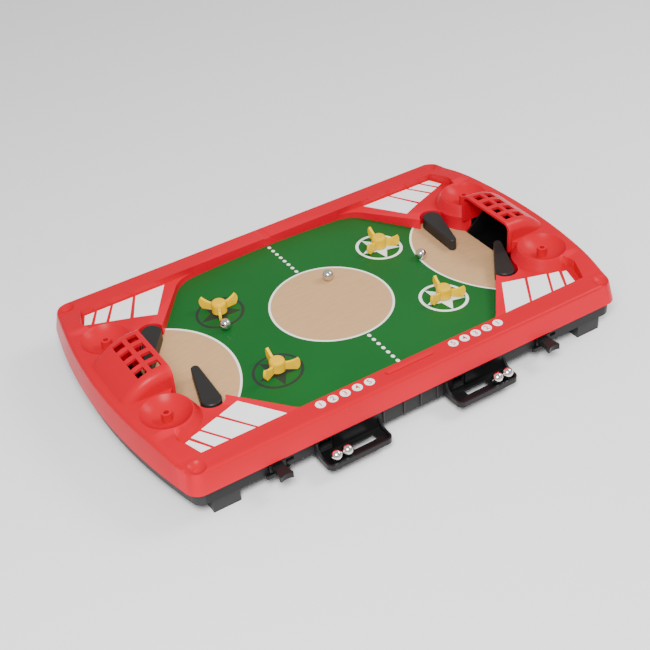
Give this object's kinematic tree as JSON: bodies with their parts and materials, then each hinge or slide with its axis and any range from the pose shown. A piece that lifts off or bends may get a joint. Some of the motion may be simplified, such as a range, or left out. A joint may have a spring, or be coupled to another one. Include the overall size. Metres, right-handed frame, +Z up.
{
  "type": "tabletop pinball football game",
  "caption": "Two-player tabletop ball game: arched printed field in a moulded shell with flippers worked by side triggers, spinners, hooded goals and side ball trays.",
  "frame": {"origin": "on the table under the middle of the game, between the underside of the four corner legs", "axes": "+X along the game towards one goal, -Y towards the side with the ball trays, +Z up"},
  "size_m": [0.495, 0.3371, 0.0732],
  "materials": {
    "red_shell": "satin moulded",
    "dark_base": "matt moulded",
    "black_plastic": "satin moulded",
    "flipper_plastic": "satin moulded",
    "printed_board": "printed and lacquered",
    "yellow_plastic": "gloss moulded",
    "white_decal": "printed",
    "steel": "polished"
  },
  "bodies": {
    "game": {"top_shell": "red_shell", "base_tray": "dark_base", "playfield_board": "printed_board", "shell_screws": "steel", "spinner_pins": "steel", "goal_liner_l": "black_plastic", "goal_liner_r": "black_plastic", "ball_tray_left": "black_plastic", "ball_tray_right": "black_plastic", "number_discs_left": "white_decal", "number_discs_right": "white_decal", "panel_decal_ln": "white_decal", "panel_decal_lf": "white_decal", "panel_decal_rn": "white_decal", "panel_decal_rf": "white_decal"},
    "flipper_ln_unit": {"flipper_ln": "flipper_plastic", "crank_ln": "black_plastic"},
    "trigger_ln_unit": {"trigger_ln": "black_plastic"},
    "spinner_ln_unit": {"spinner_ln": "yellow_plastic"},
    "flipper_lf_unit": {"flipper_lf": "flipper_plastic", "crank_lf": "black_plastic"},
    "trigger_lf_unit": {"trigger_lf": "black_plastic"},
    "spinner_lf_unit": {"spinner_lf": "yellow_plastic"},
    "flipper_rn_unit": {"flipper_rn": "flipper_plastic", "crank_rn": "black_plastic"},
    "trigger_rn_unit": {"trigger_rn": "black_plastic"},
    "spinner_rn_unit": {"spinner_rn": "yellow_plastic"},
    "flipper_rf_unit": {"flipper_rf": "flipper_plastic", "crank_rf": "black_plastic"},
    "trigger_rf_unit": {"trigger_rf": "black_plastic"},
    "spinner_rf_unit": {"spinner_rf": "yellow_plastic"},
    "play_ball_1_unit": {"play_ball_1": "steel"},
    "play_ball_2_unit": {"play_ball_2": "steel"},
    "play_ball_3_unit": {"play_ball_3": "steel"},
    "tray_ball_left_1_unit": {"tray_ball_left_1": "steel"},
    "tray_ball_left_2_unit": {"tray_ball_left_2": "steel"},
    "tray_ball_right_1_unit": {"tray_ball_right_1": "steel"},
    "tray_ball_right_2_unit": {"tray_ball_right_2": "steel"}
  },
  "joints": [
    {"name": "trigger_ln_slide", "type": "slide", "parent": "game", "child": "trigger_ln_unit", "axis": [1, 0, 0], "range_m": [0, 0.01197], "stiffness_N_per_m": 60, "springref_m": 0.01197},
    {"name": "flipper_ln_turn", "type": "hinge", "parent": "game", "child": "flipper_ln_unit", "pos_m": [-0.1634, -0.0603, 0.0376], "axis": [0, 0, 1], "range_deg": [0, 40]},
    {"name": "spinner_ln_spin", "type": "hinge", "parent": "game", "child": "spinner_ln_unit", "pos_m": [-0.0929, -0.0554, 0.0445], "axis": [0, 0, 1], "continuous": true},
    {"name": "trigger_lf_slide", "type": "slide", "parent": "game", "child": "trigger_lf_unit", "axis": [-1, 0, 0], "range_m": [0, 0.01197], "stiffness_N_per_m": 60},
    {"name": "flipper_lf_turn", "type": "hinge", "parent": "game", "child": "flipper_lf_unit", "pos_m": [-0.1634, 0.0603, 0.0376], "axis": [0, 0, 1], "range_deg": [0, 40]},
    {"name": "spinner_lf_spin", "type": "hinge", "parent": "game", "child": "spinner_lf_unit", "pos_m": [-0.0929, 0.0554, 0.0445], "axis": [0, 0, 1], "continuous": true},
    {"name": "trigger_rn_slide", "type": "slide", "parent": "game", "child": "trigger_rn_unit", "axis": [1, 0, 0], "range_m": [0, 0.01197], "stiffness_N_per_m": 60},
    {"name": "flipper_rn_turn", "type": "hinge", "parent": "game", "child": "flipper_rn_unit", "pos_m": [0.1634, -0.0603, 0.0376], "axis": [0, 0, 1], "range_deg": [0, 40]},
    {"name": "spinner_rn_spin", "type": "hinge", "parent": "game", "child": "spinner_rn_unit", "pos_m": [0.0929, -0.0554, 0.0445], "axis": [0, 0, 1], "continuous": true},
    {"name": "trigger_rf_slide", "type": "slide", "parent": "game", "child": "trigger_rf_unit", "axis": [-1, 0, 0], "range_m": [0, 0.01197], "stiffness_N_per_m": 60, "springref_m": 0.01197},
    {"name": "flipper_rf_turn", "type": "hinge", "parent": "game", "child": "flipper_rf_unit", "pos_m": [0.1634, 0.0603, 0.0376], "axis": [0, 0, 1], "range_deg": [0, 40]},
    {"name": "spinner_rf_spin", "type": "hinge", "parent": "game", "child": "spinner_rf_unit", "pos_m": [0.0929, 0.0554, 0.0445], "axis": [0, 0, 1], "continuous": true},
    {"name": "play_ball_1_roll", "type": "slide", "parent": "game", "child": "play_ball_1_unit", "axis": [0, 1, 0], "range_m": [-0.05, 0]},
    {"name": "play_ball_2_roll", "type": "slide", "parent": "game", "child": "play_ball_2_unit", "axis": [0, 1, 0], "range_m": [-0.14, 0.075]},
    {"name": "play_ball_3_roll", "type": "slide", "parent": "game", "child": "play_ball_3_unit", "axis": [0, 1, 0], "range_m": [-0.048, 0.02]},
    {"name": "tray_ball_left_1_roll", "type": "slide", "parent": "game", "child": "tray_ball_left_1_unit", "axis": [1, 0, 0], "range_m": [0, 0.035]},
    {"name": "tray_ball_left_2_roll", "type": "slide", "parent": "game", "child": "tray_ball_left_2_unit", "axis": [1, 0, 0], "range_m": [0, 0.035]},
    {"name": "tray_ball_right_1_roll", "type": "slide", "parent": "game", "child": "tray_ball_right_1_unit", "axis": [-1, 0, 0], "range_m": [0, 0.035]},
    {"name": "tray_ball_right_2_roll", "type": "slide", "parent": "game", "child": "tray_ball_right_2_unit", "axis": [-1, 0, 0], "range_m": [0, 0.035]}
  ],
  "couplings": [
    {"joint": "flipper_ln_turn", "follows": "trigger_ln_slide", "rad_per_m": 58.32},
    {"joint": "flipper_lf_turn", "follows": "trigger_lf_slide", "rad_per_m": 58.32},
    {"joint": "flipper_rn_turn", "follows": "trigger_rn_slide", "rad_per_m": 58.32},
    {"joint": "flipper_rf_turn", "follows": "trigger_rf_slide", "rad_per_m": 58.32},
    {"joint": "tray_ball_left_2_roll", "follows": "tray_ball_left_1_roll", "ratio": 1},
    {"joint": "tray_ball_right_2_roll", "follows": "tray_ball_right_1_roll", "ratio": 1}
  ]
}
